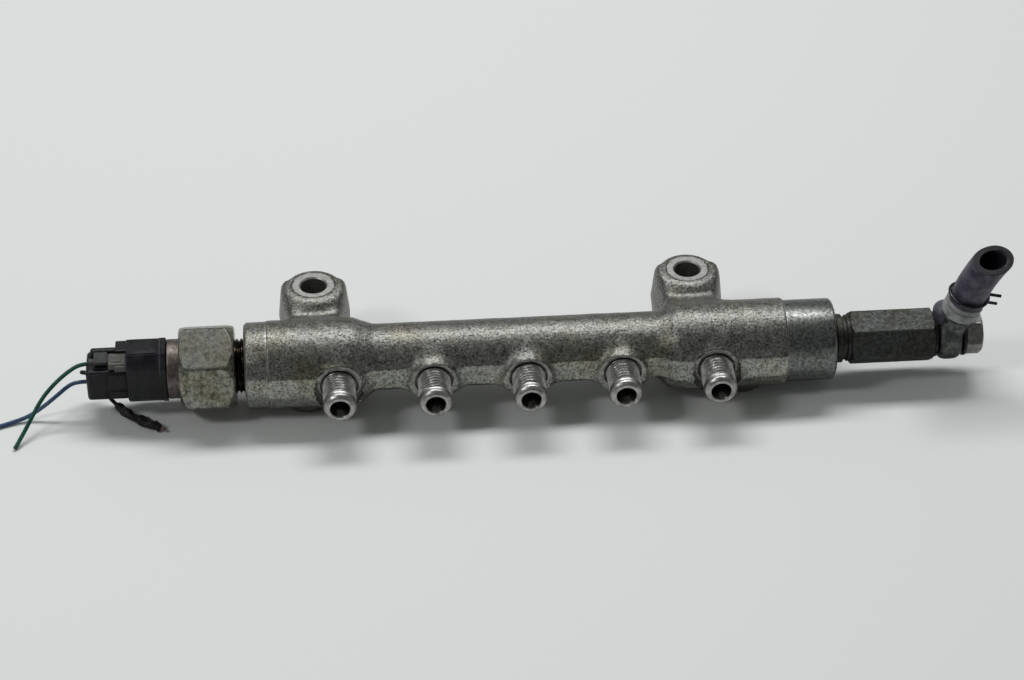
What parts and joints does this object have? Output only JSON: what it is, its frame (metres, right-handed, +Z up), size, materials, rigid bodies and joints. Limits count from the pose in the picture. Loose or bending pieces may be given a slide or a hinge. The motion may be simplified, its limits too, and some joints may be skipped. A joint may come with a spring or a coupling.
{
  "type": "fuel rail",
  "caption": "Forged diesel fuel rail with threaded outlets in a row, bolt ears, a pressure sensor with a cut-off plug at one end, and a pressure limiter with a banjo and hose stub at the other.",
  "frame": {"origin": "where the middle outlet's axis meets the rail's axis", "axes": "+X along the rail from the sensor to the limiter, -Y along the outlets, +Z up, along the bolt holes and away from the feet"},
  "size_m": [0.3658, 0.0698, 0.0576],
  "materials": {
    "forged_steel": "pitted forging skin with machined ends and faces",
    "sensor_steel": "machined, lightly stained",
    "limiter_steel": "machined, stained",
    "fitting_steel": "dark plated",
    "bolt_steel": "dark plated",
    "collar_steel": "dull, stained",
    "clamp_steel": "dark spring wire",
    "spring_steel": "ground",
    "soft_iron": "dull",
    "washer_metal": "dull, dirty",
    "black_plastic": "satin, dusty",
    "grey_plastic": "dull",
    "circuit_board": "dull",
    "tinned_brass": "tinned",
    "seal_rubber": "dull",
    "hose_rubber": "dull, worn",
    "green_insulation": "satin",
    "blue_insulation": "satin",
    "black_insulation": "satin",
    "black_tape": "satin tape",
    "bare_copper": "bare strands"
  },
  "bodies": {
    "body": {"rail_body": "forged_steel", "sensor_body": "sensor_steel", "sensor_seal": "soft_iron", "sensor_membrane": "spring_steel", "sensor_circuit": "circuit_board", "sensor_collar": "collar_steel", "sensor_connector": "black_plastic", "sensor_pins": "tinned_brass", "plug_housing": "black_plastic", "plug_retainer": "grey_plastic", "plug_sockets": "tinned_brass", "plug_wire_seals": "seal_rubber", "plug_ring_seal": "seal_rubber", "limiter_body": "limiter_steel", "limiter_seal": "soft_iron", "valve_seat": "spring_steel", "limiter_spring": "spring_steel", "spring_shim": "spring_steel", "banjo_washer_inner": "washer_metal", "banjo_washer_outer": "washer_metal", "banjo_bolt": "bolt_steel", "banjo_fitting": "fitting_steel", "return_hose": "hose_rubber", "hose_clamp": "clamp_steel", "green_wire": "green_insulation", "blue_wire": "blue_insulation", "black_wire": "black_insulation", "wire_tape": "black_tape", "wire_copper": "bare_copper"},
    "piston": {"relief_piston": "spring_steel"}
  },
  "joints": [
    {"name": "relief_valve", "type": "slide", "parent": "body", "child": "piston", "axis": [1, 0, 0], "range_m": [0, 0.001], "stiffness_N_per_m": 20000, "deforming": ["limiter_spring"]}
  ]
}
